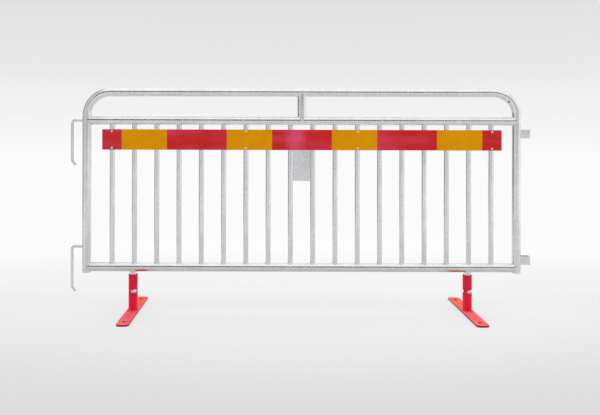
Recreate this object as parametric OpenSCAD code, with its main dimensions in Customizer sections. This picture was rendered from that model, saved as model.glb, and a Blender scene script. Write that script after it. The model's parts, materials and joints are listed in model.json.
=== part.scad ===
// Footway barrier panel: a bent tube frame with upright infill bars, a striped marker board,
// hooks and eyes for joining panels in a row, and two feet that swivel in line with the panel.
// The panel stands in the XZ plane, its front faces -Y, and the ground is at Z = 0.

/* [Frame] */
// Width of the frame over the two posts
panel_width = 2158; // [1800:2:2500]
// Height of the top rail's upper side above the ground
panel_height = 1100; // [1000:5:1250]
// Outside diameter of the tube of the frame and rails
frame_tube_d = 42.4; // [38:0.1:48.3]
// Wall of the tube of the frame and rails
frame_tube_wall = 1.5; // [1.2:0.1:4]
// Centre-line radius of the two top bends
bend_radius = 117; // [90:1:130]
// Distance from the top rail's axis down to the mid rail's axis
hand_rail_drop = 139.3; // [125:0.1:170]
// Height of the bottom rail's axis above the ground
bottom_rail_z = 218; // [200:1:260]
// Length of post that shows below the bottom rail
post_tail = 4; // [2:0.5:15]
// Diameter of the galvanising vent hole in the right-hand bend
vent_d = 8; // [5:0.5:12]

/* [Infill bars] */
// Number of upright bars, an even number
bar_count = 18; // [14:2:20]
// Outside diameter of a bar
bar_d = 25; // [20:0.5:28]
// Wall of a bar
bar_wall = 1.2; // [1:0.1:2.5]
// Distance from a post's axis to the axis of the bar beside it
first_bar_offset = 125.5; // [90:0.5:150]

/* [Marker board] */
// Height of the board
board_height = 100; // [90:1:130]
// Thickness of the board
board_thickness = 3; // [2:0.1:4]
// Distance from the mid rail's axis down to the board's middle
board_drop = 93.5; // [90:0.5:110]
// Length of board past the axis of the first and last bar
board_overhang = 46.8; // [25:0.1:60]
// Thickness of the reflective film
film_thickness = 0.4; // [0.2:0.1:0.8]
// Length of the film piece at each end of the board
end_film_length = 95.5; // [60:0.5:130]
// Length of a yellow film piece
yellow_film_length = 222; // [150:1:240]
// Distance between the two rivets of a pair
rivet_spacing = 82; // [60:1:84]
// Diameter of a rivet's head
rivet_head_d = 10; // [8:0.5:12]
// Height of a rivet's domed head
rivet_head_height = 2; // [1.5:0.1:3]
// Diameter of a rivet's shank
rivet_shank_d = 4.8; // [4:0.1:6]

/* [Centre plate] */
// Height of the plain plate between the two middle bars
plate_height = 180; // [120:1:240]
// Length of the plate that shows below the board
plate_show = 152.5; // [80:0.5:175]
// Thickness of the plate
plate_thickness = 3; // [2:0.5:5]

/* [Hooks and eyes] */
// Diameter of the hook's rod
hook_rod_d = 14; // [10:0.5:16]
// Distance from the post's axis to the axis of the hook's leg
hook_reach = 72; // [60:1:90]
// Centre-line radius of the bend between a hook's arm and leg
hook_bend_radius = 16; // [12:0.5:22]
// Distance from a hook's arm down to the kink at the end of its leg
hook_drop = 194; // [120:1:210]
// Centre-line radius of the kink
hook_kink_radius = 14; // [10:0.5:20]
// Length of the straight tip past the kink
hook_tip_length = 21.5; // [10:0.5:30]
// Height of the lower hook's arm above the bottom rail's axis
lower_hook_rise = 100.5; // [60:0.5:150]
// Distance from a hook's arm down to the middle of the eye that takes the next panel's hook
eye_drop = 62; // [45:1:75]
// Reach of an eye beyond the post's side
eye_reach = 45; // [40:1:60]
// Height of an eye's strap
eye_height = 42; // [30:1:60]
// Thickness of an eye's strap
eye_strap = 5; // [4:0.5:8]
// Inside radius of the two bends of an eye's strap
eye_bend_radius = 3; // [2:0.5:6]
// Free width inside an eye beside the hook's rod
eye_play = 4; // [3:0.5:8]

/* [Feet] */
// Distance that both feet sit to the left of the bars above them
foot_shift = 6; // [0:1:15]
// Outside diameter of the tube under the bottom rail that a foot swivels on
stub_d = 33.7; // [30:0.1:38]
// Wall of that tube
stub_wall = 3.2; // [2:0.1:4.5]
// Length of that tube that shows above a foot's sleeve
stub_show = 12.8; // [8:0.1:25]
// Wall of a foot's sleeve
sleeve_wall = 5; // [3:0.1:6]
// Length of a foot's base bar
base_length = 500; // [400:5:650]
// Width of a foot's base bar
base_width = 60; // [55:1:80]
// Thickness of a foot's base bar
base_thickness = 8; // [6:0.5:12]
// Radius of the base bar's corners
base_corner_radius = 18; // [8:0.5:26]
// Distance from the end of the base bar to the middle of its anchor hole
anchor_inset = 50; // [30:1:80]
// Diameter of an anchor hole
anchor_hole_d = 17.5; // [12:0.5:22]
// Angle through which a foot swivels
swivel_angle = 90; // [60:5:95]

/* [Pivot bolt] */
// Height of the pivot bolt's axis above the ground
bolt_z = 103; // [60:1:130]
// Diameter of the pivot bolt
bolt_d = 8; // [6:1:10]
// Width over the flats of the bolt's head and of its nut
bolt_flats = 13; // [11:0.5:17]
// Height of the bolt's head
bolt_head_height = 5.3; // [4:0.1:7]
// Height of the nut
nut_height = 6.8; // [5:0.1:9]
// Length of thread past the nut
bolt_tail = 9; // [2:0.5:14]

/* [Fits] */
// Root gap between a coped tube end and the tube that it is welded to
weld_gap = 0.2; // [0.1:0.05:0.5]
// Gap between pieces that are held together by rivets or bolts
seat_gap = 0.1; // [0.05:0.05:0.3]
// Radial clearance between a foot's sleeve and the tube inside it
swivel_clearance = 0.4; // [0.3:0.05:0.8]
// Clearance between the corners of the bolt's head and the swivel slot
slot_clearance = 0.5; // [0.3:0.05:1]
// Gap between the bottom of the tube and the base bar that it stands over
stub_clearance = 0.3; // [0.2:0.05:1]
// Radial clearance of a drilled hole round its bolt or rivet
hole_clearance = 0.25; // [0.1:0.05:0.6]

/* [Hidden] */
$fn = 72;
// How far a cutting shape runs past the face that it cuts
overrun = 2;

zinc = [0.74, 0.76, 0.77];
board_grey = [0.80, 0.81, 0.82];
film_red = [0.72, 0.14, 0.16];
film_yellow = [0.84, 0.58, 0.05];
foot_red = [0.85, 0.09, 0.15];
bolt_grey = [0.55, 0.55, 0.54];

// Frame
frame_tube_r = frame_tube_d / 2;
post_x = panel_width / 2 - frame_tube_r;
top_rail_z = panel_height - frame_tube_r;
mid_rail_z = top_rail_z - hand_rail_drop;
bend_x = post_x - bend_radius;
bend_z = top_rail_z - bend_radius;
post_foot_z = bottom_rail_z - frame_tube_r - post_tail;
cope_d = frame_tube_d + 2 * weld_gap;
cope_length = frame_tube_d + 2 * overrun;
// The vent hole sits halfway round the bend, turned from its inner side towards the front
vent_bend_angle = 45;
vent_front_angle = 50;

// Bars, numbered from the left
bar_r = bar_d / 2;
bar_bore_r = bar_r - bar_wall;
bar_pitch = 2 * (post_x - first_bar_offset) / (bar_count - 1);
function bar_x(number) = first_bar_offset - post_x + (number - 1) * bar_pitch;
function bar_name(number) = str("bar_", number < 10 ? "0" : "", number);

// Marker board, its film and its rivets
board_z = mid_rail_z - board_drop;
board_length = 2 * (bar_x(bar_count) + board_overhang);
board_back_y = -bar_r - seat_gap;
board_front_y = board_back_y - board_thickness;
film_front_y = board_front_y - film_thickness;
film_count = 9;
last_film = film_count - 1;
yellow_count = floor(film_count / 2);
inner_red_count = film_count - yellow_count - 2;
red_film_length = (board_length - 2 * end_film_length - yellow_count * yellow_film_length) / inner_red_count;
function is_red(index) = index % 2 == 0;
function film_length(index) =
    index == 0 || index == last_film ? end_film_length : is_red(index) ? red_film_length : yellow_film_length;
function film_start(index) =
    index == 0 ? -board_length / 2 : film_start(index - 1) + film_length(index - 1);
function film_name(index) =
    is_red(index) ? str("red_film_", index / 2 + 1) : str("yellow_film_", (index + 1) / 2);
// Bars from each end up to the one with the inner pair of rivets
inner_rivet_bar_count = 7;
rivet_bars = [1, inner_rivet_bar_count, bar_count + 1 - inner_rivet_bar_count, bar_count];
rivet_heights = [board_z - rivet_spacing / 2, board_z + rivet_spacing / 2];
rivet_hole_d = rivet_shank_d + 2 * hole_clearance;
rivet_dome_radius = (pow(rivet_head_height, 2) + pow(rivet_head_d / 2, 2)) / (2 * rivet_head_height);
rivet_tail_share = 1.5;
rivet_tail_d = rivet_tail_share * rivet_shank_d;
rivet_tail_length = rivet_shank_d;
// The tail spreads behind the bar's front wall, where the round bore leaves room for its width
rivet_tail_y = seat_gap - sqrt(pow(bar_bore_r, 2) - pow(rivet_tail_d / 2, 2));
function is_rivet_bar(number) = len([for (bar = rivet_bars) if (bar == number) bar]) > 0;

// Centre plate
plate_width = bar_pitch - bar_d - 2 * weld_gap;
plate_bottom_z = board_z - board_height / 2 - plate_show;

// Hooks and eyes
upper_hook_z = mid_rail_z;
lower_hook_z = bottom_rail_z + lower_hook_rise;
// About 41 degrees: its sine and cosine both end after six digits, so that the tip meets the kink exactly
hook_kink_cosine_share = 0.752192;
hook_kink_angle = acos(hook_kink_cosine_share);
eye_outer_x = post_x + frame_tube_r + eye_reach;
eye_slot_width = hook_rod_d + eye_play;

// Feet
function foot_x(side) = side * bar_x(bar_count - 1) - foot_shift;
stub_r = stub_d / 2;
sleeve_bore_d = stub_d + 2 * swivel_clearance;
sleeve_d = sleeve_bore_d + 2 * sleeve_wall;
sleeve_top_z = bottom_rail_z - frame_tube_r - stub_show;
stub_bottom_z = base_thickness + stub_clearance;
anchor_y = base_length / 2 - anchor_inset;
hex_sides = 6;
hex_corner_d = bolt_flats / cos(180 / hex_sides);
slot_width = hex_corner_d + 2 * slot_clearance;
bolt_hole_d = bolt_d + 2 * hole_clearance;

// A ring, the section of a tube
module tube_section(outer_d, wall) {
    difference() {
        circle(d = outer_d);
        circle(d = outer_d - 2 * wall);
    }
}

// An upright tube that starts at the origin
module tube(outer_d, wall, length) {
    linear_extrude(length) tube_section(outer_d, wall);
}

// An arc round the Y axis, from +X towards +Z, of the section that is drawn as its child
module arc_in_xz(radius, angle) {
    rotate([90, 0, 0]) rotate_extrude(angle = angle) translate([radius, 0]) children();
}

// A rectangle with round corners, centred on the origin
module rounded_rectangle(size_x, size_y, radius) {
    square([size_x - 2 * radius, size_y], center = true);
    square([size_x, size_y - 2 * radius], center = true);
    for (x = [-1, 1], y = [-1, 1]) {
        translate([x * (size_x / 2 - radius), y * (size_y / 2 - radius)]) circle(r = radius);
    }
}

// The space of a level frame tube with its root gap, for coping what stands on it
module rail_cope(z) {
    translate([0, 0, z]) rotate([0, 90, 0]) cylinder(d = cope_d, h = cope_length, center = true);
}

// The space of a post with its root gap, for coping what is welded to its side
module post_cope(side, z, height) {
    translate([side * post_x, 0, z]) cylinder(d = cope_d, h = height + 2 * overrun, center = true);
}

// The hole of every board rivet, from the film's front to the middle of the bars
module rivet_holes() {
    for (number = rivet_bars, z = rivet_heights) {
        translate([bar_x(number), 0, z]) rotate([90, 0, 0])
            cylinder(d = rivet_hole_d, h = overrun - film_front_y);
    }
}

// One tube bent into both posts and the top rail, open at the two lower ends
module frame_loop() {
    color(zinc) difference() {
        union() {
            translate([-bend_x, 0, top_rail_z]) rotate([0, 90, 0])
                tube(frame_tube_d, frame_tube_wall, 2 * bend_x);
            for (side = [0, 1]) mirror([side, 0, 0]) {
                translate([post_x, 0, post_foot_z])
                    tube(frame_tube_d, frame_tube_wall, bend_z - post_foot_z);
                translate([bend_x, 0, bend_z]) arc_in_xz(bend_radius, 90)
                    tube_section(frame_tube_d, frame_tube_wall);
            }
        }
        vent_hole();
    }
}

// A drilled hole through the wall of the right-hand bend
module vent_hole() {
    translate([bend_x, 0, bend_z]) rotate([0, -vent_bend_angle, 0]) translate([bend_radius, 0, 0])
        rotate([0, 0, 180 + vent_front_angle]) rotate([0, 90, 0])
            cylinder(d = vent_d, h = frame_tube_r + overrun);
}

// A level tube between the posts, coped to fit round them
module rail(z) {
    color(zinc) difference() {
        translate([-post_x, 0, z]) rotate([0, 90, 0]) tube(frame_tube_d, frame_tube_wall, 2 * post_x);
        for (side = [-1, 1]) post_cope(side, z, frame_tube_d);
    }
}

// The short upright between the top rail and the mid rail
module centre_stub() {
    color(zinc) difference() {
        translate([0, 0, mid_rail_z]) tube(frame_tube_d, frame_tube_wall, hand_rail_drop);
        rail_cope(mid_rail_z);
        rail_cope(top_rail_z);
    }
}

// An infill bar, coped to the bottom rail and the mid rail
module bar(number) {
    color(zinc) difference() {
        translate([bar_x(number), 0, bottom_rail_z]) tube(bar_d, bar_wall, mid_rail_z - bottom_rail_z);
        translate([bar_x(number), 0, 0]) {
            rail_cope(bottom_rail_z);
            rail_cope(mid_rail_z);
        }
        if (is_rivet_bar(number)) rivet_holes();
    }
}

// A bent rod that reaches out from the left post, turns down and ends in a tip kinked towards the post
module hook(z) {
    color(zinc) mirror([1, 0, 0]) difference() {
        translate([post_x, 0, z]) {
            rotate([0, 90, 0]) cylinder(d = hook_rod_d, h = hook_reach - hook_bend_radius);
            translate([hook_reach - hook_bend_radius, 0, -hook_bend_radius])
                arc_in_xz(hook_bend_radius, 90) circle(d = hook_rod_d);
            translate([hook_reach, 0, -hook_drop]) cylinder(d = hook_rod_d, h = hook_drop - hook_bend_radius);
            translate([hook_reach - hook_kink_radius, 0, -hook_drop]) hook_kink();
        }
        post_cope(1, z, hook_rod_d);
    }
}

// The kink below a hook's leg: a quarter bend, cut where the straight tip goes on
module hook_kink() {
    outer_radius = hook_kink_radius + hook_rod_d;
    difference() {
        mirror([0, 0, 1]) arc_in_xz(hook_kink_radius, 90) circle(d = hook_rod_d);
        rotate([0, hook_kink_angle, 0]) translate([0, -hook_rod_d, -outer_radius])
            cube([outer_radius, 2 * hook_rod_d, outer_radius]);
    }
    rotate([0, hook_kink_angle, 0]) translate([hook_kink_radius, 0, -hook_tip_length])
        cylinder(d = hook_rod_d, h = hook_tip_length);
}

// A strap bent into an eye on the right post, open at the top and bottom for a hook's leg
module eye(z) {
    strap_width = eye_slot_width + 2 * eye_strap;
    slot_end_x = eye_outer_x - eye_strap;
    color(zinc) difference() {
        translate([post_x, 0, z - eye_height / 2]) linear_extrude(eye_height) difference() {
            rounded_end(eye_outer_x - post_x, strap_width, eye_bend_radius + eye_strap);
            rounded_end(slot_end_x - post_x, eye_slot_width, eye_bend_radius);
        }
        post_cope(1, z, eye_height);
    }
}

// A bar outline from X = 0 to its length, with round corners at the far end
module rounded_end(length, width, radius) {
    translate([0, -width / 2]) square([length - radius, width]);
    translate([0, radius - width / 2]) square([length, width - 2 * radius]);
    for (side = [-1, 1]) translate([length - radius, side * (width / 2 - radius)]) circle(r = radius);
}

// The plain plate between the two middle bars
module centre_plate() {
    color(zinc) translate([-plate_width / 2, -plate_thickness / 2, plate_bottom_z])
        cube([plate_width, plate_thickness, plate_height]);
}

// A flat piece in front of the bars at the board's height, drilled for the rivets
module board_sheet(start_x, length, front_y, thickness) {
    difference() {
        translate([start_x, front_y, board_z - board_height / 2]) cube([length, thickness, board_height]);
        rivet_holes();
    }
}

module marker_board() {
    color(board_grey) board_sheet(-board_length / 2, board_length, board_front_y, board_thickness);
}

module film(index) {
    color(is_red(index) ? film_red : film_yellow)
        board_sheet(film_start(index), film_length(index), film_front_y, film_thickness);
}

// A blind rivet turned about Z: the dome head is above the origin, and the tail spreads inside the bar
module rivet() {
    shank_length = rivet_tail_y + rivet_tail_length - film_front_y;
    rotate_extrude() {
        intersection() {
            translate([0, rivet_head_height - rivet_dome_radius]) circle(r = rivet_dome_radius);
            square([rivet_head_d / 2, rivet_head_height]);
        }
        translate([0, -shank_length]) {
            square([rivet_shank_d / 2, shank_length]);
            square([rivet_tail_d / 2, rivet_tail_length]);
        }
    }
}

module board_rivets() {
    color(bolt_grey) for (number = rivet_bars, z = rivet_heights) {
        translate([bar_x(number), film_front_y, z]) rotate([90, 0, 0]) rivet();
    }
}

// The tube that is welded under the bottom rail and carries a foot
module foot_stub(side) {
    color(zinc) translate([foot_x(side), 0, 0]) difference() {
        translate([0, 0, stub_bottom_z]) tube(stub_d, stub_wall, bottom_rail_z - stub_bottom_z);
        rail_cope(bottom_rail_z);
        translate([0, 0, bolt_z]) rotate([90, 0, 0])
            cylinder(d = bolt_hole_d, h = stub_d + 2 * overrun, center = true);
    }
}

// A slot round a sleeve, from the front towards the right, with round ends that fit over the bolt's head
module swivel_slot() {
    for (angle = [0, swivel_angle]) {
        rotate([0, 0, angle]) rotate([90, 0, 0]) cylinder(d = slot_width, h = sleeve_d / 2 + overrun);
    }
    rotate([0, 0, -90]) rotate_extrude(angle = swivel_angle)
        translate([stub_r, -slot_width / 2]) square([sleeve_d / 2 + overrun - stub_r, slot_width]);
}

// A foot's sleeve, with one slot for the bolt's head and one opposite for its nut
module foot_sleeve(side) {
    color(foot_red) translate([foot_x(side), 0, 0]) difference() {
        translate([0, 0, base_thickness]) tube(sleeve_d, sleeve_wall, sleeve_top_z - base_thickness);
        for (turn = [0, 180]) translate([0, 0, bolt_z]) rotate([0, 0, turn]) swivel_slot();
    }
}

// The flat bar that a foot stands on, with an anchor hole near each end
module base_bar(side) {
    color(foot_red) translate([foot_x(side), 0, 0]) difference() {
        linear_extrude(base_thickness) rounded_rectangle(base_width, base_length, base_corner_radius);
        for (end = [-1, 1]) translate([0, end * anchor_y, -overrun]) {
            cylinder(d = anchor_hole_d, h = base_thickness + 2 * overrun);
        }
    }
}

// A hexagon bolt through the stub, its head at the front in the sleeve's slot
module pivot_bolt(side) {
    color(bolt_grey) translate([foot_x(side), -stub_r, bolt_z]) rotate([-90, 0, 0]) {
        cylinder(d = bolt_d, h = stub_d + nut_height + bolt_tail);
        translate([0, 0, -bolt_head_height])
            cylinder(d = hex_corner_d, h = bolt_head_height, $fn = hex_sides);
    }
}

// The nut at the back of the stub, in the sleeve's opposite slot
module pivot_nut(side) {
    color(bolt_grey) translate([foot_x(side), stub_r, bolt_z]) rotate([-90, 0, 0]) difference() {
        cylinder(d = hex_corner_d, h = nut_height, $fn = hex_sides);
        translate([0, 0, -overrun]) cylinder(d = bolt_d + 2 * seat_gap, h = nut_height + 2 * overrun);
    }
}

frame_loop();
rail(mid_rail_z);  // mid_rail
rail(bottom_rail_z);  // bottom_rail
centre_stub();
for (number = [1 : bar_count]) {
    bar(number);
}
hook(upper_hook_z);  // upper_hook
hook(lower_hook_z);  // lower_hook
eye(upper_hook_z - eye_drop);  // upper_eye
eye(lower_hook_z - eye_drop);  // lower_eye
centre_plate();
marker_board();
for (index = [0 : last_film]) {
    film(index);
}
board_rivets();
for (side = [-1, 1]) {
    hand = side < 0 ? "left_" : "right_";
    foot_stub(side);
    foot_sleeve(side);
    base_bar(side);
    pivot_bolt(side);
    pivot_nut(side);
}
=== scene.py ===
"""Looks of a footway barrier panel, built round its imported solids. Lengths are in metres."""

import itertools
import json
import math

import bmesh
import bpy
import numpy as np
from mathutils import Euler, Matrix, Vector

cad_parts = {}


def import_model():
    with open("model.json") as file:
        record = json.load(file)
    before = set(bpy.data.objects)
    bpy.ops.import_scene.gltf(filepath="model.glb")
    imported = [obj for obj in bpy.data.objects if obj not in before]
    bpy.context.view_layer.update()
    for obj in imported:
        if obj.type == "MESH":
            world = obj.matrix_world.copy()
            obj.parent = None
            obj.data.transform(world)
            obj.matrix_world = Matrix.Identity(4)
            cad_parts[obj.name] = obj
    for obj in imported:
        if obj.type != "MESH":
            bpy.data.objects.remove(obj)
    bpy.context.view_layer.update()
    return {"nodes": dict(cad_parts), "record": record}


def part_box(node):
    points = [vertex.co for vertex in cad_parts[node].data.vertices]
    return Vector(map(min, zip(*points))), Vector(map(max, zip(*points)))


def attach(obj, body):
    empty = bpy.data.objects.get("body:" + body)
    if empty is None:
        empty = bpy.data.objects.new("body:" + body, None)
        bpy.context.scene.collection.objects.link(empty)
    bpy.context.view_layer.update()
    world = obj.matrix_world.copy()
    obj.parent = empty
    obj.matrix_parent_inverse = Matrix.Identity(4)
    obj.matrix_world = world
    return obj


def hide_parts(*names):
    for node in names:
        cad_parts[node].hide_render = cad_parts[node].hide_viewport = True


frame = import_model()
NODES = frame["nodes"]
MOUNTS = {mount["name"]: mount for mount in frame["record"]["mounts"]}
MM = 0.001
FULL_TURN = 2 * math.pi
QUARTER_TURN = math.pi / 2
HANDS = ("left", "right")
LEVELS = ("upper", "lower")
X, Y, Z = np.eye(3)


# Sizes, read from the solids

def low_corner(node):
    return np.array(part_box(node)[0])


def high_corner(node):
    return np.array(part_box(node)[1])


def centre(node):
    return (low_corner(node) + high_corner(node)) / 2


def size(node):
    return high_corner(node) - low_corner(node)


tube_r = size("mid_rail")[2] / 2
post_x = high_corner("frame_loop")[0] - tube_r
top_z = high_corner("frame_loop")[2] - tube_r
mid_z = centre("mid_rail")[2]
low_z = centre("bottom_rail")[2]
bar_names = sorted(name for name in NODES if name.startswith("bar_"))
bar_r = size("bar_01")[0] / 2
stub_r = size("left_foot_stub")[0] / 2
sleeve_r = size("left_foot_sleeve")[0] / 2
base_top_z = high_corner("left_base_bar")[2]
film_y = low_corner("red_film_1")[1]
board_z = centre("marker_board")[2]
rod_r = size("upper_hook")[1] / 2


# Node helpers

UNIT_RANGE = (0.0, 1.0)
NOISE_RANGE = (0.3, 0.7)  # what a noise texture mostly fills
MIX_SHARE, MIX_FIRST, MIX_SECOND, MIX_RESULT = 0, 6, 7, 2  # sockets of a Mix node set to colours


def new_material(name):
    material = bpy.data.materials.new(name)
    material.use_nodes = True
    return material, material.node_tree, material.node_tree.nodes["Principled BSDF"]


def put(tree, kind, values=None, **settings):
    """A shader node with its settings, and with sockets linked or set."""
    node = tree.nodes.new(kind)
    for key, value in settings.items():
        setattr(node, key, value)
    for socket, value in (values or {}).items():
        if isinstance(value, bpy.types.NodeSocket):
            tree.links.new(value, node.inputs[socket])
        else:
            node.inputs[socket].default_value = value
    return node


def math_node(tree, operation, first, second=0.0, third=0.0):
    return put(tree, "ShaderNodeMath", {0: first, 1: second, 2: third}, operation=operation).outputs[0]


def multiplied(tree, first, second):
    return math_node(tree, "MULTIPLY", first, second)


def added(tree, first, second):
    return math_node(tree, "ADD", first, second)


def vector_node(tree, operation, first, second, third=(0, 0, 0)):
    return put(tree, "ShaderNodeVectorMath", {0: first, 1: second, 2: third}, operation=operation).outputs[0]


def length_of(tree, vector):
    return put(tree, "ShaderNodeVectorMath", {0: vector}, operation="LENGTH").outputs["Value"]


def axes_of(tree, vector):
    """The parts of a vector along X, Y and Z, by name."""
    return put(tree, "ShaderNodeSeparateXYZ", {0: vector}).outputs


def facing_up(tree):
    """1 where the surface faces up, 0 on upright sides and -1 where it faces down."""
    return axes_of(tree, put(tree, "ShaderNodeNewGeometry").outputs["Normal"])["Z"]


def object_coords(tree, scale=(1, 1, 1)):
    coords = put(tree, "ShaderNodeTexCoord").outputs["Object"]
    if scale == (1, 1, 1):
        return coords
    return put(tree, "ShaderNodeMapping", {"Vector": coords, "Scale": scale}).outputs["Vector"]


def noise(tree, vector, scale=1.0, detail=3.0, roughness=0.55):
    return put(tree, "ShaderNodeTexNoise", {"Vector": vector, "Scale": scale, "Detail": detail,
                                            "Roughness": roughness}).outputs["Fac"]


def spread(tree, value, source, target=UNIT_RANGE, shape="LINEAR"):
    """The value moved from the source range to the target range and held inside it."""
    return put(tree, "ShaderNodeMapRange", {"Value": value, "From Min": source[0], "From Max": source[1],
                                            "To Min": target[0], "To Max": target[1]},
               interpolation_type=shape).outputs["Result"]


def mottle(tree, vector, target, scale=1.0, detail=3.0, roughness=0.55):
    """Noise that fills the target range."""
    return spread(tree, noise(tree, vector, scale, detail, roughness), NOISE_RANGE, target)


def blend_colour(tree, share, first, second, blend_type="MIX"):
    node = put(tree, "ShaderNodeMix", data_type="RGBA", blend_type=blend_type)
    for index, value in ((MIX_SHARE, share), (MIX_FIRST, first), (MIX_SECOND, second)):
        if isinstance(value, bpy.types.NodeSocket):
            tree.links.new(value, node.inputs[index])
        else:
            node.inputs[index].default_value = value if index == MIX_SHARE else (*value, 1.0)
    return node.outputs[MIX_RESULT]


def shade_colour(tree, colour, factor):
    """A colour made lighter or darker by a factor that varies over the surface."""
    grey = put(tree, "ShaderNodeCombineColor", {"Red": factor, "Green": factor, "Blue": factor}).outputs[0]
    return blend_colour(tree, 1.0, colour, grey, "MULTIPLY")


def bump(tree, bsdf, height, distance, strength):
    node = put(tree, "ShaderNodeBump", {"Height": height, "Distance": distance, "Strength": strength})
    tree.links.new(node.outputs["Normal"], bsdf.inputs["Normal"])


# Materials

ZINC_BRIGHT, ZINC_WORN = (0.728, 0.735, 0.743), (0.772, 0.772, 0.767)
SHEET_BRIGHT, SHEET_WORN = (0.785, 0.785, 0.808), (0.815, 0.815, 0.825)
SPANGLE_SCALE = 105.0
SPANGLE_WARP, SPANGLE_WARP_SCALE = 6 * MM, 160.0
# The first colour is road splash that also stands for painted shade under the bottom rail
SPLASH_AND_SHADE, SPLASH_AND_SHADE_SHARE = (0.40, 0.365, 0.335), 0.6

FILM_CELL_PITCH = 4.2 * MM
FILM_CELL_LINE = (0.43, 0.49)  # where a line starts and where it is full, as shares of the pitch
FILM_DUST = (0.55, 0.40, 0.33)
# Painted glare on the red film: a painted highlight patch left of the middle, and streaks of painted sheen
GLARE_PLACE = (-32 * MM, 0.0, board_z + 4 * MM)
GLARE_SCALE = (1.0, 0.0, 0.7)
GLARE_EDGE, GLARE_RAGGED = (115 * MM, 45 * MM), 80 * MM
GLARE_STRENGTH, SHEEN_STREAK_STRENGTH = 0.85, 0.36

# The third red is painted bounce light: a brighter red low down on the feet
RED_DEEP, RED_LIGHT, RED_PAINTED_BOUNCE = (0.60, 0.002, 0.032), (0.68, 0.004, 0.036), (0.78, 0.001, 0.032)
# Painted sunlight on faces that look up, pinker at the front and warmer at the rear
RED_SUNLIT_FRONT, RED_SUNLIT_REAR = (0.98, 0.19, 0.205), (1.0, 0.165, 0.035)
# The first colour is painted shade low on upright faces; the second is chipped paint
RED_PAINTED_SHADE, RED_CHIPPED = (0.085, 0.005, 0.012), (0.30, 0.05, 0.05)
# Heights over which the painted bounce light fades in
BOUNCE_Z = (140 * MM, 60 * MM)
REAR_Y = (-20 * MM, 100 * MM)
# Heights below which the painted shade darkens upright faces
SHADE_Z = (6 * MM, 9 * MM)

STAIN_SHARES = (0.8, 0.76, 0.68)


def galvanised_steel(name, bright, worn, splash_and_shade=0.0):
    """Zinc with its spangle, runs and dull patches, and a share of road splash with painted shade on what
    faces down.
    """
    material, tree, bsdf = new_material(name)
    coords = object_coords(tree)
    warp = put(tree, "ShaderNodeTexNoise", {"Vector": coords, "Scale": SPANGLE_WARP_SCALE, "Detail": 1.0})
    warped = vector_node(tree, "MULTIPLY_ADD", warp.outputs["Color"], (SPANGLE_WARP,) * 3, coords)
    cells = put(tree, "ShaderNodeTexVoronoi", {"Vector": warped, "Scale": SPANGLE_SCALE})
    cell = put(tree, "ShaderNodeSeparateColor", {"Color": cells.outputs["Color"]}).outputs
    dull = spread(tree, noise(tree, coords, scale=28.0, detail=5.0, roughness=0.65), (0.56, 0.72))
    light = multiplied(tree, spread(tree, cell["Red"], UNIT_RANGE, (0.955, 1.03)),
                       mottle(tree, coords, (0.92, 1.06), scale=9.0, detail=4.0, roughness=0.6))
    light = multiplied(tree, light, mottle(tree, object_coords(tree, (55, 55, 5)), (0.96, 1.04)))
    tone = blend_colour(tree, dull, bright, worn)
    # Road splash and painted shade where the surface faces down
    if splash_and_shade:
        below = spread(tree, facing_up(tree), (0.05, -0.35), (0.0, splash_and_shade))
        streaks = mottle(tree, object_coords(tree, (4, 30, 30)), (0.6, 1.0), detail=5.0, roughness=0.6)
        tone = blend_colour(tree, multiplied(tree, below, streaks), tone, SPLASH_AND_SHADE)
    tree.links.new(shade_colour(tree, tone, light), bsdf.inputs["Base Color"])
    rough = added(tree, spread(tree, cell["Green"], UNIT_RANGE, (0.20, 0.26)), multiplied(tree, dull, 0.12))
    tree.links.new(rough, bsdf.inputs["Roughness"])
    bsdf.inputs["Metallic"].default_value = 1.0
    grain = noise(tree, coords, scale=900.0, detail=3.0, roughness=0.6)
    height = added(tree, multiplied(tree, cell["Blue"], 0.35), grain)
    height = added(tree, height, multiplied(tree, noise(tree, coords, scale=60.0), 2.0))
    bump(tree, bsdf, height, distance=0.12 * MM, strength=0.3)
    return material


def cell_lines(tree, pitch):
    """0 inside the six-sided cells of a film in the XZ plane, 1 on the lines between them."""
    coords = axes_of(tree, object_coords(tree))
    found = []
    for shift in (0.0, 0.5):
        places = []
        for axis, step in (("X", pitch), ("Z", pitch * math.sqrt(3))):
            share = math_node(tree, "MULTIPLY_ADD", coords[axis], 1 / step, shift)
            share = math_node(tree, "SUBTRACT", math_node(tree, "FRACT", share), 0.5)
            places.append(math_node(tree, "ABSOLUTE", multiplied(tree, share, step / pitch)))
        x, z = places
        slant = added(tree, multiplied(tree, x, 0.5), multiplied(tree, z, math.sqrt(3) / 2))
        found.append(math_node(tree, "MAXIMUM", slant, x))
    return spread(tree, math_node(tree, "MINIMUM", *found), FILM_CELL_LINE)


def painted_glare_share(tree, coords):
    """Painted glare on the film: level streaks of painted sheen all over, and a painted highlight patch left
    of the middle.
    """
    level = noise(tree, object_coords(tree, (4, 1, 15)), detail=4.0, roughness=0.6)
    streaks = spread(tree, level, (0.44, 0.68), (0.0, SHEEN_STREAK_STRENGTH))
    reach = vector_node(tree, "MULTIPLY", vector_node(tree, "SUBTRACT", coords, GLARE_PLACE), GLARE_SCALE)
    uneven = noise(tree, object_coords(tree, (14, 1, 22)), detail=4.0, roughness=0.6)
    ragged = math_node(tree, "MULTIPLY_ADD", uneven, GLARE_RAGGED, length_of(tree, reach))
    glare_patch = spread(tree, ragged, GLARE_EDGE, (0.0, GLARE_STRENGTH), "SMOOTHSTEP")
    return math_node(tree, "MAXIMUM", streaks, glare_patch)


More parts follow.
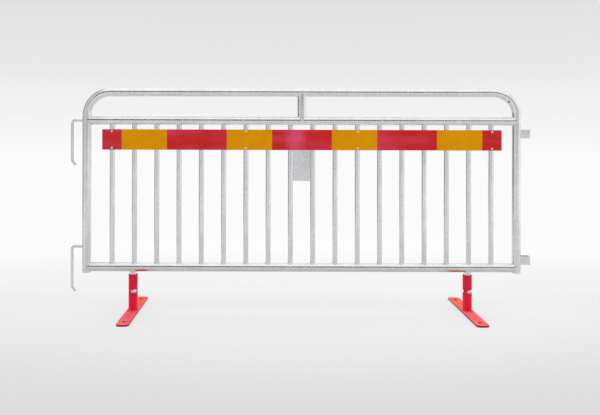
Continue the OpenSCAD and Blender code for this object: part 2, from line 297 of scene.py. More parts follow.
def reflective_film(name, colour, line_colour, painted_light_colour=None):
    """Film with six-sided cells, some dust and, where a glare colour is given, painted glare: streaks of
    painted sheen and a painted highlight patch.
    """
    material, tree, bsdf = new_material(name)
    coords = object_coords(tree)
    lines = cell_lines(tree, FILM_CELL_PITCH)
    # Painted glare blended into the film's own colour
    if painted_light_colour:
        colour = blend_colour(tree, painted_glare_share(tree, coords), colour, painted_light_colour)
    tone = blend_colour(tree, multiplied(tree, lines, 0.35), colour, line_colour)
    tone = shade_colour(tree, tone, mottle(tree, coords, (0.93, 1.07), scale=14.0, detail=4.0, roughness=0.6))
    level = noise(tree, object_coords(tree, (6, 6, 60)), detail=5.0, roughness=0.65)
    tone = blend_colour(tree, spread(tree, level, (0.58, 0.8), (0.0, 0.06)), tone, FILM_DUST)
    tree.links.new(tone, bsdf.inputs["Base Color"])
    tree.links.new(mottle(tree, coords, (0.16, 0.26), scale=40.0, detail=4.0), bsdf.inputs["Roughness"])
    bsdf.inputs["Specular IOR Level"].default_value = 0.05
    height = added(tree, multiplied(tree, lines, 0.5), noise(tree, coords, scale=22.0, detail=2.0))
    bump(tree, bsdf, height, distance=0.25 * MM, strength=0.35)
    return material


def red_powder_coat():
    """Red with painted bounce light that makes it brighter low down, painted sunlight where it faces up,
    painted shade low on upright faces, and chips.
    """
    material, tree, bsdf = new_material("red_powder_coat")
    coords = object_coords(tree)
    place = axes_of(tree, coords)
    facing = facing_up(tree)
    tone = blend_colour(tree, noise(tree, coords, scale=60.0), RED_DEEP, RED_LIGHT)
    tone = shade_colour(tree, tone, mottle(tree, coords, (0.88, 1.08), scale=25.0, detail=4.0, roughness=0.6))
    # Painted bounce light: brighter red towards the bottom
    tone = blend_colour(tree, spread(tree, place["Z"], BOUNCE_Z, (0.0, 0.8)), tone, RED_PAINTED_BOUNCE)
    uneven = mottle(tree, object_coords(tree, (30, 12, 30)), (0.35, 1.0), detail=5.0, roughness=0.65)
    # Painted sunlight: what faces up is lighter, unevenly, and also a little rougher
    painted_sun_share = multiplied(tree, spread(tree, facing, (0.5, 1.0), (0.0, 0.85)), uneven)
    painted_light_colour = blend_colour(tree, spread(tree, place["Y"], REAR_Y), RED_SUNLIT_FRONT, RED_SUNLIT_REAR)
    tone = blend_colour(tree, painted_sun_share, tone, painted_light_colour)
    # Painted shade: upright faces near the ground, such as the base bar's sides and the walls of its holes,
    # are darker
    low = spread(tree, place["Z"], SHADE_Z, (1.0, 0.0))
    upright = spread(tree, facing, (0.3, 0.8), (1.0, 0.0))
    painted_shade = multiplied(tree, multiplied(tree, low, upright),
                       mottle(tree, coords, (0.8, 0.97), scale=45.0, detail=4.0, roughness=0.6))
    tone = blend_colour(tree, painted_shade, tone, RED_PAINTED_SHADE)
    specks = noise(tree, coords, scale=210.0, detail=2.0, roughness=0.5)
    chips = spread(tree, specks, (0.735, 0.75), (0.0, 0.8))
    tone = blend_colour(tree, chips, tone, RED_CHIPPED)
    tree.links.new(tone, bsdf.inputs["Base Color"])
    rough = added(tree, mottle(tree, coords, (0.24, 0.36), scale=90.0), multiplied(tree, painted_sun_share, 0.4))
    tree.links.new(rough, bsdf.inputs["Roughness"])
    bsdf.inputs["Specular IOR Level"].default_value = 0.2
    peel = noise(tree, coords, scale=420.0, detail=2.0, roughness=0.5)
    height = math_node(tree, "SUBTRACT", peel, multiplied(tree, chips, 0.6))
    bump(tree, bsdf, height, distance=0.3 * MM, strength=0.35)
    return material


def plain_metal(name, colour, roughness, grain_scale):
    """Bare or plated metal with fine grain along the given directions."""
    material, tree, bsdf = new_material(name)
    coords = object_coords(tree)
    grain = noise(tree, object_coords(tree, grain_scale), detail=4.0, roughness=0.6)
    cloud = mottle(tree, coords, (0.86, 1.08), scale=70.0, detail=4.0, roughness=0.6)
    light = multiplied(tree, cloud, spread(tree, grain, NOISE_RANGE, (0.93, 1.05)))
    spots = noise(tree, coords, scale=130.0, detail=5.0, roughness=0.6)
    stained = tuple(channel * share for channel, share in zip(colour, STAIN_SHARES))
    tone = blend_colour(tree, spread(tree, spots, (0.55, 0.75), (0.0, 0.35)), colour, stained)
    tree.links.new(shade_colour(tree, tone, light), bsdf.inputs["Base Color"])
    tree.links.new(spread(tree, grain, NOISE_RANGE, roughness), bsdf.inputs["Roughness"])
    bsdf.inputs["Metallic"].default_value = 1.0
    bump(tree, bsdf, added(tree, grain, noise(tree, coords, scale=700.0)), distance=0.08 * MM, strength=0.5)
    return material


MATERIALS = {
    "galvanised_steel": galvanised_steel("galvanised_steel", ZINC_BRIGHT, ZINC_WORN),
    # The red film carries painted glare in a pink colour
    "red_film": reflective_film("red_film", colour=(0.555, 0.0195, 0.0195), line_colour=(0.64, 0.040, 0.050),
                                painted_light_colour=(0.755, 0.090, 0.200)),
    "yellow_film": reflective_film("yellow_film", colour=(0.695, 0.282, 0.0),
                                   line_colour=(0.80, 0.36, 0.003)),
    "red_paint": red_powder_coat(),
    "board_aluminium": plain_metal("board_aluminium", colour=(0.74, 0.75, 0.76), roughness=(0.26, 0.40),
                                   grain_scale=(3, 400, 400)),
    "rivet_aluminium": plain_metal("rivet_aluminium", colour=(0.72, 0.72, 0.72), roughness=(0.22, 0.34),
                                   grain_scale=(300, 300, 300)),
    "bolt_steel": plain_metal("bolt_steel", colour=(0.60, 0.60, 0.58), roughness=(0.24, 0.38),
                              grain_scale=(350, 350, 350)),
}
for part in frame["record"]["subparts"]:
    surface = NODES[part["node"]].data
    surface.materials.clear()
    surface.materials.append(MATERIALS[part["material_slot"]])
# The bottom rail gets road splash and painted shade on its underside
splash_and_shade_material = galvanised_steel("splash_and_shade_steel", ZINC_BRIGHT, ZINC_WORN, SPLASH_AND_SHADE_SHARE)
NODES["bottom_rail"].data.materials[0] = splash_and_shade_material
NODES["centre_plate"].data.materials[0] = galvanised_steel("galvanised_sheet", SHEET_BRIGHT, SHEET_WORN)


# Pieces

class Shape:
    """Vertices and faces that collect in one mesh."""

    def __init__(self, verts=(), faces=()):
        self.verts, self.faces = list(verts), list(faces)

    def add_rings(self, rings, closed=False):
        """A skin over rings of equal length, closed into a loop or else capped at both ends."""
        start, count, around = len(self.verts), len(rings), len(rings[0])
        faces = []
        for i in range(count if closed else count - 1):
            here, there = i * around, (i + 1) % count * around
            for j in range(around):
                k = (j + 1) % around
                faces.append((here + j, here + k, there + k, there + j))
        if not closed:
            faces.append(tuple(reversed(range(around))))
            faces.append(tuple(range((count - 1) * around, count * around)))
        self.verts.extend(point for ring in rings for point in ring)
        self.faces.extend(tuple(start + i for i in face) for face in faces)


def shape_from(form):
    """The vertices and faces of a bmesh, which is then freed."""
    form.verts.index_update()
    verts = [tuple(v.co) for v in form.verts]
    faces = [tuple(v.index for v in face.verts) for face in form.faces]
    form.free()
    return Shape(verts, faces)


def add_piece(name, shape, slot, body, replaced=(), sharp_angle=None):
    mesh = bpy.data.meshes.new(name)
    mesh.from_pydata([tuple(v) for v in shape.verts], [], shape.faces)
    mesh.polygons.foreach_set("use_smooth", [True] * len(mesh.polygons))
    if sharp_angle is not None:
        mesh.set_sharp_from_angle(angle=math.radians(sharp_angle))
    mesh.materials.append(MATERIALS[slot])
    piece = bpy.data.objects.new(name, mesh)
    bpy.context.scene.collection.objects.link(piece)
    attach(piece, body)
    if replaced:
        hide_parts(*replaced)
    return piece


# Welds

WELD_STEP = 0.8 * MM
WELD_RIPPLE = 2.6 * MM
WELD_SIDES = 10

# The uneven form of a bead, by its radius and by waves along its length
SWELL, SWELL_WAVES = 0.05, (2, 3, 5, 9)
WANDER, WANDER_WAVES = 0.06, (2, 4, 7)
VALLEY, RIDGE, RIDGE_POWER = 0.86, 0.16, 0.6
TAPER_REACH, TAPER_TIP = 1.5, 0.04
BEAD_LIFT, BEAD_HEIGHT, BEAD_BREADTH = 0.12, 0.85, 1.15
SADDLE_STRETCH, FEWEST_SAMPLES = 1.1, 48

BAR_WELD_R = 1.9 * MM
RAIL_WELD_R = 2.1 * MM
STUB_WELD_R = 2.4 * MM
FITTING_WELD_R = 2.2 * MM
PLATE_WELD_R = 1.7 * MM
FOOT_WELD_R = 3.4 * MM
FRAME_SEED, PLATE_SEED, FOOT_SEED = 100, 400, 500
STRAP_REACH, STRAP_POINTS = 4 * MM, 6
PLATE_RUN, PLATE_PLACES, PLATE_LEAN = 26 * MM, (0.10, 0.42, 0.74), 0.7


def unit(vectors):
    return vectors / np.linalg.norm(vectors, axis=-1, keepdims=True)


def weld_bead(shape, path, outward, radius, seed, closed=True):
    """A rippled weld along a path. Outward points away from the corner that the weld fills."""
    path, outward = np.array(path), unit(np.array(outward))
    if closed:
        tangent = unit(np.roll(path, -1, 0) - np.roll(path, 1, 0))
        steps = np.linalg.norm(np.roll(path, -1, 0) - path, axis=1)
    else:
        tangent = unit(np.gradient(path, axis=0))
        steps = np.linalg.norm(np.diff(path, axis=0, append=path[-1:]), axis=1)
    outward = unit(outward - (outward * tangent).sum(1, keepdims=True) * tangent)
    sideways = np.cross(tangent, outward)
    along = np.cumsum(steps) - steps
    total = steps.sum()
    ripples = max(1, round(total / WELD_RIPPLE))
    phase = along / total * FULL_TURN
    draw = np.random.default_rng(seed)
    swell = sum(SWELL * np.cos(k * phase + draw.uniform(0, FULL_TURN)) for k in SWELL_WAVES)
    wander = sum(WANDER * np.cos(k * phase + draw.uniform(0, FULL_TURN)) for k in WANDER_WAVES)
    ridge = np.abs(np.cos(ripples * phase / 2 + draw.uniform(0, math.pi))) ** RIDGE_POWER
    radii = radius * (VALLEY + RIDGE * ridge + swell)
    if not closed:
        reach = np.minimum(along, total - along) / (TAPER_REACH * radius)
        radii = radii * np.sqrt(np.clip(reach, TAPER_TIP, 1.0))
    middle = path + outward * (BEAD_LIFT * radius) + sideways * (wander * radius)[:, None]
    turn = np.arange(WELD_SIDES) / WELD_SIDES * FULL_TURN
    rings = []
    for i in range(len(path)):
        ring = (middle[i] + np.outer(np.cos(turn), outward[i]) * radii[i] * BEAD_HEIGHT
                + np.outer(np.sin(turn), sideways[i]) * radii[i] * BEAD_BREADTH)
        rings.append(ring)
    shape.add_rings(rings, closed)


def branch_weld(shape, origin, main_axis, branch_axis, main_r, branch_r, bead_r, seed):
    """The weld round a tube that stands on the side of another tube."""
    origin, main, branch = (np.array(v, float) for v in (origin, main_axis, branch_axis))
    third = np.cross(main, branch)
    samples = max(FEWEST_SAMPLES, round(FULL_TURN * branch_r * SADDLE_STRETCH / WELD_STEP))
    turn = (np.arange(samples) + 0.5) / samples * FULL_TURN
    side = branch_r * np.sin(turn)
    rise = np.sqrt(np.maximum(main_r ** 2 - side ** 2, 0))
    path = origin + np.outer(branch_r * np.cos(turn), main) + np.outer(side, third) + np.outer(rise, branch)
    branch_normal = np.outer(np.cos(turn), main) + np.outer(np.sin(turn), third)
    main_normal = (np.outer(side, third) + np.outer(rise, branch)) / main_r
    weld_bead(shape, path, branch_normal + main_normal, bead_r, seed)


def strap_weld(shape, node, side, seed):
    """The weld round the outside of one leg of an eye's strap, where it meets the post."""
    low, high = low_corner(node), high_corner(node)
    outer_y, inner_y = high[1], high[1] - STRAP_REACH
    rows = [(y, high[2], Z) for y in np.linspace(inner_y, outer_y, STRAP_POINTS)]
    rows += [(outer_y, z, Y) for z in np.arange(high[2], low[2], -WELD_STEP)]
    rows += [(y, low[2], -Z) for y in np.linspace(outer_y, inner_y, STRAP_POINTS)]
    path, outward = [], []
    for y, z, face in rows:
        x = math.sqrt(tube_r ** 2 - y ** 2)
        path.append((post_x + x, side * y, z))
        post_normal = np.array((x, y, 0)) / tube_r
        outward.append((face + post_normal) * (1, side, 1))
    weld_bead(shape, path, outward, FITTING_WELD_R, seed, closed=False)


def frame_welds():
    """The welds of bars, rails, stubs, hooks and eyes, in one piece."""
    shape = Shape()
    seeds = itertools.count(FRAME_SEED)
    for name in bar_names:
        x = centre(name)[0]
        for z, away in ((low_z, Z), (mid_z, -Z)):
            branch_weld(shape, (x, 0, z), X, away, tube_r, bar_r, BAR_WELD_R, next(seeds))
    for side in (-1, 1):
        for z in (low_z, mid_z):
            branch_weld(shape, (side * post_x, 0, z), Z, -side * X, tube_r, tube_r, RAIL_WELD_R, next(seeds))
    for z, away in ((mid_z, Z), (top_z, -Z)):
        branch_weld(shape, (0, 0, z), X, away, tube_r, tube_r, RAIL_WELD_R, next(seeds))
    for hand in HANDS:
        x = centre(f"{hand}_foot_stub")[0]
        branch_weld(shape, (x, 0, low_z), X, -Z, tube_r, stub_r, STUB_WELD_R, next(seeds))
    for level in LEVELS:
        arm_z = high_corner(f"{level}_hook")[2] - rod_r
        branch_weld(shape, (-post_x, 0, arm_z), Z, -X, tube_r, rod_r, FITTING_WELD_R, next(seeds))
        for side in (-1, 1):
            strap_weld(shape, f"{level}_eye", side, next(seeds))
    return shape


def plate_welds():
    """Short welds between the plain plate and the two bars beside it, at the front and the back."""
    shape = Shape()
    seeds = itertools.count(PLATE_SEED)
    low, high = low_corner("centre_plate"), high_corner("centre_plate")
    for x, away in ((low[0], X), (high[0], -X)):
        for y, face in ((low[1], -Y), (high[1], Y)):
            for share in PLATE_PLACES:
                z = low[2] + share * (high[2] - low[2])
                path = [(x, y, z + s) for s in np.arange(0, PLATE_RUN, WELD_STEP)]
                outward = [face + PLATE_LEAN * away] * len(path)
                weld_bead(shape, path, outward, PLATE_WELD_R, next(seeds), closed=False)
    return shape


def foot_weld(x, seed):
    """The weld round the foot of a sleeve, on its base bar."""
    shape = Shape()
    samples = round(FULL_TURN * sleeve_r / WELD_STEP)
    turn = np.arange(samples) / samples * FULL_TURN
    round_about = np.stack([np.cos(turn), np.sin(turn), np.zeros(samples)], 1)
    path = np.array((x, 0, base_top_z)) + round_about * sleeve_r
    weld_bead(shape, path, round_about + Z, FOOT_WELD_R, seed)
    return shape


add_piece("frame_welds", frame_welds(), "galvanised_steel", "panel")
add_piece("plate_welds", plate_welds(), "galvanised_steel", "panel")
for seed, hand in enumerate(HANDS, FOOT_SEED):
    weld = foot_weld(centre(f"{hand}_base_bar")[0], seed)
    add_piece(f"{hand}_foot_weld", weld, "red_paint", f"{hand}_foot")


# Rivets

RIVET_BARS = ("bar_01", "bar_07", "bar_12", "bar_18")
RIVET_OFFSET = 41 * MM  # up and down from the middle of the board
RIVET_SAMPLES = 32
RIVET_SHARP = 50
DOME_R, DOME_DROP = 7.25, 5.25


def rivet_profile():
    """Radius and height of a blind rivet, from the bottom of its mandrel recess over the head to its tail."""
    rows = [(0.05, 0.85), (0.75, 0.9), (1.0, 0.8), (1.12, 0.55), (1.32, 0.6), (1.4, 1.55), (1.55, 1.86)]
    rows += [(r, math.sqrt(DOME_R ** 2 - r ** 2) - DOME_DROP) for r in np.linspace(1.9, 4.75, 9)]
    rows += [(4.95, 0.28), (5.0, 0.12), (4.95, 0.0), (2.4, 0.0), (2.4, -5.0), (3.3, -5.2), (3.6, -6.4)]
    rows += [(3.5, -8.6), (2.6, -9.6), (1.0, -9.9), (0.05, -9.9)]
    return [(r * MM, along * MM) for r, along in rows]


def board_rivet_heads():
    shape = Shape()
    turn = np.arange(RIVET_SAMPLES) / RIVET_SAMPLES * FULL_TURN
    for name in RIVET_BARS:
        x = centre(name)[0]
        for z in (board_z - RIVET_OFFSET, board_z + RIVET_OFFSET):
            rings = [[(x + r * math.cos(t), film_y - along, z + r * math.sin(t)) for t in turn]
                     for r, along in rivet_profile()]
            shape.add_rings(rings)
    return shape


add_piece("rivet_heads", board_rivet_heads(), "rivet_aluminium", "panel", ["board_rivets"],
          sharp_angle=RIVET_SHARP)


# Pivot bolts and nuts

HEX_SIDES = 6
HEX_SAMPLES = 48
HEX_FLATS = 13 * MM
HEX_FACE_R = 0.94 * HEX_FLATS / 2
HEX_CHAMFER = math.tan(math.radians(27))
SHANK_R = 4 * MM
CAP_R = 0.3 * MM
THREAD_PITCH = 1.25 * MM
THREAD_DEPTH = 0.65 * MM
THREAD_STEPS = 6
THREAD_FADE = 2 * THREAD_PITCH
THREAD_CREST = 1.25
THREAD_INSIDE = 3 * MM  # the thread starts this far before the tube's far side
TAIL_CHAMFER, TAIL_SLOPE, TAIL_LEAST_R = 1.1 * MM, 0.8, 0.4 * MM
NUT_BORE_R, NUT_BEVEL = 4.15 * MM, 0.5 * MM
BOLT_SHARP = 24


def hex_radius(turn):
    """Radius of a hexagon over its flats, with corners at angle 0 and every 60 degrees."""
    sector = FULL_TURN / HEX_SIDES
    return HEX_FLATS / 2 / math.cos(turn % sector - sector / 2)


def chamfer_fall(turn):
    """How far the chamfer has fallen from a hexagon's face where it meets the side."""
    return max(0.0, hex_radius(turn) - HEX_FACE_R) * HEX_CHAMFER


def hex_rows(start, end, inner_r, end_chamfered):
    """Rows of a hexagon from its chamfered start face to its end face, each a function of the angle."""
    return [
        lambda turn: (inner_r, start),
        lambda turn: (HEX_FACE_R, start),
        lambda turn: (hex_radius(turn), start + chamfer_fall(turn)),
        lambda turn: (hex_radius(turn), end - (chamfer_fall(turn) if end_chamfered else 0.0)),
        lambda turn: (HEX_FACE_R, end),
        lambda turn: (inner_r, end),
    ]


def placed_rows(rows, x, y, z):
    """Rings for rows whose axis runs from the front to the back through the given point."""
    turn = np.arange(HEX_SAMPLES) / HEX_SAMPLES * FULL_TURN
    rings = []
    for row in rows:
        polar = [(t, *row(t)) for t in turn]
        rings.append([(x + r * math.cos(t), y + along, z - r * math.sin(t)) for t, r, along in polar])
    return rings


def thread_row(along, start, end):
    """One row of a thread that fades in at its start and is chamfered at its end."""
    fade = min(1.0, max(0.0, (along - start) / THREAD_FADE))
    chamfer = max(0.0, TAIL_CHAMFER - (end - along))

    def row(turn):
        share = (along / THREAD_PITCH - turn / FULL_TURN) % 1.0
        groove = min(1.0, THREAD_CREST * abs(2 * share - 1))
        radius = min(SHANK_R - fade * THREAD_DEPTH * groove, SHANK_R - TAIL_SLOPE * chamfer)
        return max(TAIL_LEAST_R, radius), along
    return row


def pivot_bolt(node):
    """A hexagon bolt with a chamfered head, and a thread on its tail."""
    x, _, z = centre(node)
    head_y, tail_y, seat_y = low_corner(node)[1], high_corner(node)[1], -stub_r
    head, length = seat_y - head_y, tail_y - seat_y
    rows = hex_rows(-head, 0.0, CAP_R, end_chamfered=False)[:-1]
    rows.append(lambda turn: (SHANK_R, 0.0))
    start = 2 * stub_r - THREAD_INSIDE
    for along in np.arange(start, length, THREAD_PITCH / THREAD_STEPS):
        rows.append(thread_row(along, start, length))
    rows.append(thread_row(length, start, length))
    rows.append(lambda turn: (CAP_R, length))
    shape = Shape()
    shape.add_rings(placed_rows(rows, x, seat_y, z))
    return shape


def pivot_nut(node):
    """A hexagon nut with both faces chamfered and a bevelled bore."""
    x, _, z = centre(node)
    height = size(node)[1]
    rows = hex_rows(0.0, height, NUT_BORE_R + NUT_BEVEL, end_chamfered=True)
    rows += [lambda turn: (NUT_BORE_R, height - NUT_BEVEL), lambda turn: (NUT_BORE_R, NUT_BEVEL)]
    shape = Shape()
    shape.add_rings(placed_rows(rows, x, low_corner(node)[1], z), closed=True)
    return shape


for hand in HANDS:
    for name, make in ((f"{hand}_pivot_bolt", pivot_bolt), (f"{hand}_pivot_nut", pivot_nut)):
        add_piece(f"{name}_dressed", make(name), "bolt_steel", "panel", [name], sharp_angle=BOLT_SHARP)


# Base bars

EDGE_ROUND = 1.4 * MM
EDGE_STEPS = 4
CORNER_R = 18 * MM
CORNER_STEPS = 10
HOLE_SAMPLES = 36
BASE_SHARP = 40


def base_outline(middle_x, half_x, half_y, radius):
    points = []
    for corner, (sx, sy) in enumerate(((1, 1), (-1, 1), (-1, -1), (1, -1))):
        for step in range(CORNER_STEPS + 1):
            turn = (corner + step / CORNER_STEPS) * QUARTER_TURN
            points.append((middle_x + sx * (half_x - radius) + radius * math.cos(turn),
                           sy * (half_y - radius) + radius * math.sin(turn)))
    return points


def round_hole(x, y, radius):
    turns = [i / HOLE_SAMPLES * FULL_TURN for i in range(HOLE_SAMPLES)]
    return [(x + radius * math.cos(t), y + radius * math.sin(t)) for t in turns]


def base_bar(hand):
    """The foot's flat bar with soft edges all round and at its two holes."""
    node = f"{hand}_base_bar"
    x = centre(node)[0]
    half_x, half_y = size(node)[:2] / 2
    thick = size(node)[2]
    holes = MOUNTS[f"{hand}_anchor_holes"]["dims"]
    hole_y, hole_r = holes["spacing_y_mm"] / 2 * MM, holes["hole_r_mm"] * MM
    levels = []
    for step in range(EDGE_STEPS + 1):
        turn = step / EDGE_STEPS * QUARTER_TURN
        levels.append((EDGE_ROUND * (1 - math.sin(turn)), EDGE_ROUND * (1 - math.cos(turn))))
    levels += [(inset, thick - z) for inset, z in reversed(levels)]
    form = bmesh.new()
    caps = {0: [], len(levels) - 1: []}
    outlines = [lambda inset: base_outline(x, half_x - inset, half_y - inset, CORNER_R - inset)]
    for y in (-hole_y, hole_y):
        outlines.append(lambda inset, y=y: round_hole(x, y, hole_r + inset)[::-1])
    for outline in outlines:
        rows = [[form.verts.new((px, py, z)) for px, py in outline(inset)] for inset, z in levels]
        count = len(rows[0])
        for lower, upper in zip(rows, rows[1:]):
            for j in range(count):
                k = (j + 1) % count
                form.faces.new((lower[j], lower[k], upper[k], upper[j]))
        for level, edges in caps.items():
            edges += [form.edges.get((rows[level][j], rows[level][(j + 1) % count])) for j in range(count)]
    for edges in caps.values():
        bmesh.ops.triangle_fill(form, use_beauty=True, edges=edges)
    bmesh.ops.recalc_face_normals(form, faces=form.faces)
    return shape_from(form)


for hand in HANDS:
    add_piece(f"{hand}_base_bar_dressed", base_bar(hand), "red_paint", f"{hand}_foot", [f"{hand}_base_bar"],
              sharp_angle=BASE_SHARP)


# Sleeves, eyes and hooks with softened edges

MERGE = 0.001 * MM
FLAT_ANGLE = math.radians(0.3)
SOFT_ANGLE = math.radians(35)
SOFT_STEPS = 3
SOFT_SHARP = 42
SLEEVE_SOFT, EYE_SOFT, HOOK_SOFT = 0.8 * MM, 0.8 * MM, 1.0 * MM
EYE_COPE = 3 * MM  # the eyes' edges this near the post stay sharp


def soft_edged(node, width, first_x):
    """A solid's own mesh with its sharp edges rounded, apart from those that start left of first_x."""
    form = bmesh.new()
    form.from_mesh(NODES[node].data)
    bmesh.ops.remove_doubles(form, verts=form.verts, dist=MERGE)
    bmesh.ops.dissolve_limit(form, angle_limit=FLAT_ANGLE, verts=form.verts, edges=form.edges)
    sharp = [edge for edge in form.edges
             if edge.calc_face_angle() > SOFT_ANGLE and min(v.co.x for v in edge.verts) > first_x]
    bmesh.ops.bevel(form, geom=sharp, offset=width, offset_type="OFFSET", segments=SOFT_STEPS, profile=0.5,
                    affect="EDGES", clamp_overlap=False)
    return shape_from(form)


def soft_piece(node, width, slot, body, first_x=-math.inf):
    shape = soft_edged(node, width, first_x)
    piece = add_piece(f"{node}_dressed", shape, slot, body, [node], sharp_angle=SOFT_SHARP)
    even = piece.modifiers.new("even_normals", "WEIGHTED_NORMAL")
    even.keep_sharp = True


for hand in HANDS:
    soft_piece(f"{hand}_foot_sleeve", SLEEVE_SOFT, "red_paint", f"{hand}_foot")
for level in LEVELS:
    soft_piece(f"{level}_eye", EYE_SOFT, "galvanised_steel", "panel", post_x + tube_r + EYE_COPE)
    soft_piece(f"{level}_hook", HOOK_SOFT, "galvanised_steel", "panel")


# Floor, light and camera

FLOOR_HALF, FLOOR_Z = 20.0, -0.4 * MM
FLOOR_TONE, FLOOR_ROUGHNESS = (0.80, 0.80, 0.80), 0.9
FAR_GREY = 0.965

# Greys of the floor, from NEAR_Y in front at 0 to FAR_Y behind at 1, darker in front as painted shade
NEAR_Y, FAR_Y = -1.2, 1.8
FLOOR_STOPS = ((0.0, 0.73), (0.42, 0.845), (0.62, 0.905), (1.0, 0.985))

# Where the floor turns to the far grey, and where the shadow on it fades
FAR_SCALE, FAR_REACH = (0.8, 1.0, 1.0), (1.45, 2.9)
SHADOW_SCALE, SHADOW_REACH, PAPER_SHARES = (0.6, 1.0, 1.0), (0.3, 1.1), (0.45, 1.0)

# Greys of the backdrop, from straight down at 0 over the horizon at 0.5 to straight up at 1
SKY_STOPS = ((0.0, FAR_GREY), (0.481, 0.955), (0.5, 0.92), (0.516, 0.885), (0.55, 0.81), (0.6, 0.755),
             (0.66, 0.9), (1.0, 0.9))
WORLD_LIGHT = 1.1

CAMERA_PLACE = (-0.16, -3.2, 0.91)
CAMERA_TILT, CAMERA_ROLL = math.radians(90), math.radians(-0.15)
CAMERA_LENS, CAMERA_SENSOR = 38.98, 36.0
CAMERA_SHIFT = (0.0511, -0.1345)
CAMERA_END = 100.0


def grey_ramp(tree, value, stops):
    """A grey that follows the value smoothly through (place, grey) stops from 0 to 1."""
    node = put(tree, "ShaderNodeValToRGB", {"Fac": value})
    node.color_ramp.interpolation = "EASE"
    points = node.color_ramp.elements
    while len(points) < len(stops):
        points.new(0.5)
    for point, (place, grey) in zip(points, stops):
        point.position = place
        point.color = (grey, grey, grey, 1)
    return node.outputs["Color"]


def seen_share(tree):
    """1 for what is looked at directly, mirrored or through, 0 for the light that it gives."""
    path = put(tree, "ShaderNodeLightPath").outputs
    return math_node(tree, "MAXIMUM", path["Is Camera Ray"],
                     math_node(tree, "MAXIMUM", path["Is Glossy Ray"], path["Is Transmission Ray"]))


def matte_material(name, tone, roughness):
    material, tree, bsdf = new_material(name)
    bsdf.inputs["Base Color"].default_value = (*tone, 1)
    bsdf.inputs["Roughness"].default_value = roughness
    bsdf.inputs["Specular IOR Level"].default_value = 0.0
    return material, tree, bsdf


def flat_sheet(name, corners, material):
    mesh = bpy.data.meshes.new(name)
    mesh.from_pydata(corners, [], [(0, 1, 2, 3)])
    mesh.materials.append(material)
    sheet = bpy.data.objects.new(name, mesh)
    bpy.context.scene.collection.objects.link(sheet)
    return sheet


def floor():
    """Pale paper that shows the object's shadow near it and runs into the backdrop further out."""
    material, tree, bsdf = matte_material("floor_paper", FLOOR_TONE, FLOOR_ROUGHNESS)
    place = axes_of(tree, object_coords(tree))
    near = grey_ramp(tree, spread(tree, place["Y"], (NEAR_Y, FAR_Y)), FLOOR_STOPS)
    outer = spread(tree, length_of(tree, object_coords(tree, FAR_SCALE)), FAR_REACH, shape="SMOOTHSTEP")
    paper = put(tree, "ShaderNodeEmission", {"Color": blend_colour(tree, outer, near, (FAR_GREY,) * 3)})
    away = length_of(tree, object_coords(tree, SHADOW_SCALE))
    share = multiplied(tree, seen_share(tree), spread(tree, away, SHADOW_REACH, PAPER_SHARES, "SMOOTHSTEP"))
    mix = put(tree, "ShaderNodeMixShader", {0: share, 1: bsdf.outputs[0], 2: paper.outputs[0]})
    tree.links.new(mix.outputs[0], tree.nodes["Material Output"].inputs["Surface"])
    corners = [(x * FLOOR_HALF, y * FLOOR_HALF, FLOOR_Z) for x, y in ((-1, -1), (1, -1), (1, 1), (-1, 1))]
    plane = flat_sheet("floor", corners, material)


def hidden_cloth(name, tone, corners, only_mirrored=False):
    """A grey or dark cloth that the camera doesn't see and the tubes show as a darker line.

    One that is only mirrored casts no shade and takes no light from the object.
    """
    material, _, _ = matte_material(name, tone, 1.0)
    cloth = flat_sheet(name, corners, material)
    cloth.visible_camera = False
    cloth.visible_diffuse = not only_mirrored
    cloth.visible_shadow = not only_mirrored


def world():
    """Even light on the object, and the pale backdrop that is seen and mirrored."""
    scene_world = bpy.data.worlds.new("studio")
    bpy.context.scene.world = scene_world
    scene_world.use_nodes = True
    tree = scene_world.node_tree
    tree.nodes.clear()
    height = axes_of(tree, put(tree, "ShaderNodeTexCoord").outputs["Generated"])["Z"]
    soft = put(tree, "ShaderNodeBackground", {"Color": (1.0, 1.0, 1.0, 1), "Strength": WORLD_LIGHT})
    backdrop = grey_ramp(tree, spread(tree, height, (-1, 1)), SKY_STOPS)
    pale = put(tree, "ShaderNodeBackground", {"Color": backdrop})
    mix = put(tree, "ShaderNodeMixShader", {0: seen_share(tree), 1: soft.outputs[0], 2: pale.outputs[0]})
    out = put(tree, "ShaderNodeOutputWorld")
    tree.links.new(mix.outputs[0], out.inputs["Surface"])


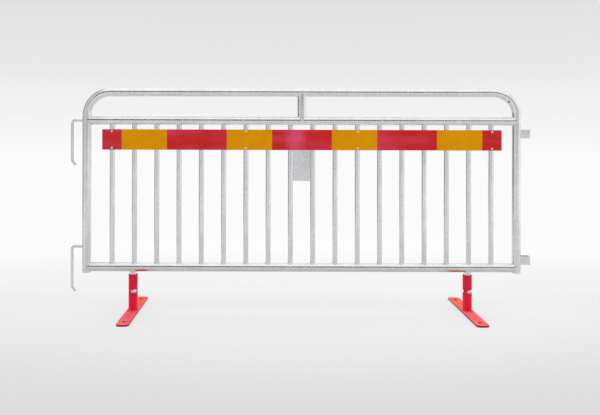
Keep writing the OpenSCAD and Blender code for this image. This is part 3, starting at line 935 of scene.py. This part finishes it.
def area_light(name, place, target, width, height, radiance, colour=(1, 1, 1)):
    data = bpy.data.lights.new(name, "AREA")
    data.shape = "RECTANGLE"
    data.size, data.size_y = width, height
    data.energy = radiance * math.pi * width * height
    data.color = colour
    light = bpy.data.objects.new(name, data)
    bpy.context.scene.collection.objects.link(light)
    light.location = place
    light.rotation_euler = (Vector(target) - Vector(place)).to_track_quat("-Z", "Y").to_euler()
    light.visible_camera = False


def camera():
    data = bpy.data.cameras.new("camera")
    data.lens = CAMERA_LENS
    data.sensor_width = CAMERA_SENSOR
    data.shift_x, data.shift_y = CAMERA_SHIFT
    data.clip_end = CAMERA_END
    eye = bpy.data.objects.new("camera", data)
    bpy.context.scene.collection.objects.link(eye)
    eye.location = CAMERA_PLACE
    eye.rotation_euler = Euler((CAMERA_TILT, CAMERA_ROLL, 0))
    bpy.context.scene.camera = eye


floor()
hidden_cloth("front_flag", tone=(0.055, 0.062, 0.075),
             corners=[(-5.0, -6.0, 1.8), (5.0, -6.0, 1.15), (5.0, -6.0, 3.2), (-5.0, -6.0, 5.0)])
hidden_cloth("left_flag", tone=(0.60, 0.61, 0.63), only_mirrored=True,
             corners=[(-3.6, -1.4, 0.1), (-3.6, 1.5, 0.1), (-2.8, 1.5, 3.9), (-2.8, -1.4, 3.9)])
hidden_cloth("rear_flag", tone=(0.17, 0.18, 0.195), only_mirrored=True,
             corners=[(-1.6, 0.3, 0.1), (-1.6, 4.0, 0.1), (-1.6, 4.0, 1.7), (-1.6, 0.3, 1.7)])
hidden_cloth("front_card", tone=(0.70, 0.70, 0.71),
             corners=[(-9.0, -7.0, 0.0), (2.5, -7.0, 0.0), (2.5, -7.0, 0.9), (-9.0, -7.0, 0.9)])
world()
area_light("overhead", place=(0.9, -0.3, 3.4), target=(0.9, -0.3, 0.4), width=6.0, height=6.0,
           radiance=0.36, colour=(0.94, 0.98, 1.0))
area_light("front_fill", place=(0.0, -5.0, 0.75), target=(0.0, 0.0, 0.75), width=8.0, height=1.4,
           radiance=0.04)
area_light("right_wall", place=(3.1, 0.1, 1.15), target=(0.0, 0.1, 1.15), width=3.6, height=2.3,
           radiance=0.22)
camera()
bpy.context.scene.view_settings.view_transform = "Standard"
